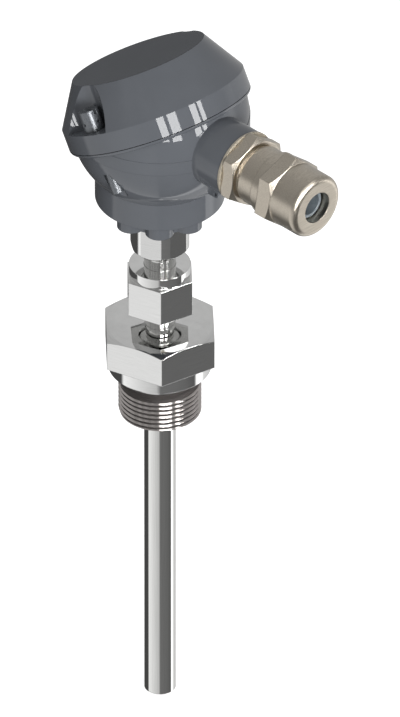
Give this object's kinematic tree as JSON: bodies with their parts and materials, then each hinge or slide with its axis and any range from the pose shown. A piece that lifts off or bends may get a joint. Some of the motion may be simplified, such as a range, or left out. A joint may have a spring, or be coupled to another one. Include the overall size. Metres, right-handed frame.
{
  "type": "resistance thermometer probe with connection head",
  "caption": "Stem temperature probe with a threaded process connection, a union coupling, and a round tilted-lid connection head with a side cable gland.",
  "frame": {"origin": "on the probe's axis, in the plane of the sealing face under the collar", "axes": "+Z along the stem towards the connection head, +X along the cable gland away from the head"},
  "size_m": [0.0791, 0.0478, 0.1975],
  "materials": {
    "stainless_steel": "bright turned and polished stainless steel",
    "painted_aluminium": "blue-grey gloss paint on die-cast aluminium",
    "nickel_plated_brass": "satin nickel plate on brass",
    "screw_steel": "plated steel",
    "black_rubber": "matt black rubber",
    "grey_rubber": "blue-grey rubber",
    "cage_plastic": "natural polyamide",
    "ceramic": "glazed white ceramic",
    "terminal_brass": "bright brass",
    "bare_wire": "bare nickel wire"
  },
  "bodies": {
    "stem": {"process_connection": "stainless_steel", "protective_tube": "stainless_steel", "tip_plug": "stainless_steel", "coupling_sleeve": "stainless_steel"},
    "head": {"neck_tube": "stainless_steel", "head_nipple": "stainless_steel", "ferrule": "stainless_steel", "head_body": "painted_aluminium", "lid_gasket": "black_rubber", "gland_seal": "cage_plastic", "gland_body": "nickel_plated_brass", "clamping_cage": "cage_plastic", "sealing_insert": "grey_rubber", "insert_sheath": "stainless_steel", "insulating_rod": "ceramic", "measuring_resistor": "ceramic", "lead_wires": "bare_wire", "mounting_plate": "stainless_steel", "terminal_block": "ceramic", "terminal_clamps": "terminal_brass", "terminal_screws": "terminal_brass", "fixing_screws": "screw_steel", "pressure_springs": "screw_steel"},
    "union_nut": {"union_nut": "stainless_steel"},
    "lock_nut": {"lock_nut": "stainless_steel"},
    "lid": {"lid": "painted_aluminium", "screw_washers": "screw_steel"},
    "lid_screw_front": {"lid_screw_front": "screw_steel"},
    "lid_screw_rear": {"lid_screw_rear": "screw_steel"},
    "dome_nut": {"dome_nut": "nickel_plated_brass"}
  },
  "joints": [
    {"name": "head_swivel", "type": "hinge", "parent": "stem", "child": "head", "pos_m": [0, 0, 0.03], "axis": [0, 0, 1], "range_deg": [-175, 175]},
    {"name": "union_nut_turn", "type": "hinge", "parent": "stem", "child": "union_nut", "pos_m": [0, 0, 0.0246], "axis": [0, 0, 1], "continuous": true},
    {"name": "lock_nut_turn", "type": "hinge", "parent": "head", "child": "lock_nut", "pos_m": [0, 0, 0.0415], "axis": [0, 0, 1], "continuous": true},
    {"name": "lid_lift", "type": "slide", "parent": "head", "child": "lid", "axis": [-0.4818, 0, 0.8763], "range_m": [0, 0.045]},
    {"name": "front_screw_turn", "type": "hinge", "parent": "lid", "child": "lid_screw_front", "pos_m": [-0.00289, -0.0199, 0.08031], "axis": [-0.4818, 0, 0.8763], "continuous": true},
    {"name": "rear_screw_turn", "type": "hinge", "parent": "lid", "child": "lid_screw_rear", "pos_m": [-0.00289, 0.0199, 0.08031], "axis": [-0.4818, 0, 0.8763], "continuous": true},
    {"name": "dome_nut_turn", "type": "hinge", "parent": "head", "child": "dome_nut", "pos_m": [0.045, 0, 0.0753], "axis": [1, 0, 0], "continuous": true}
  ]
}
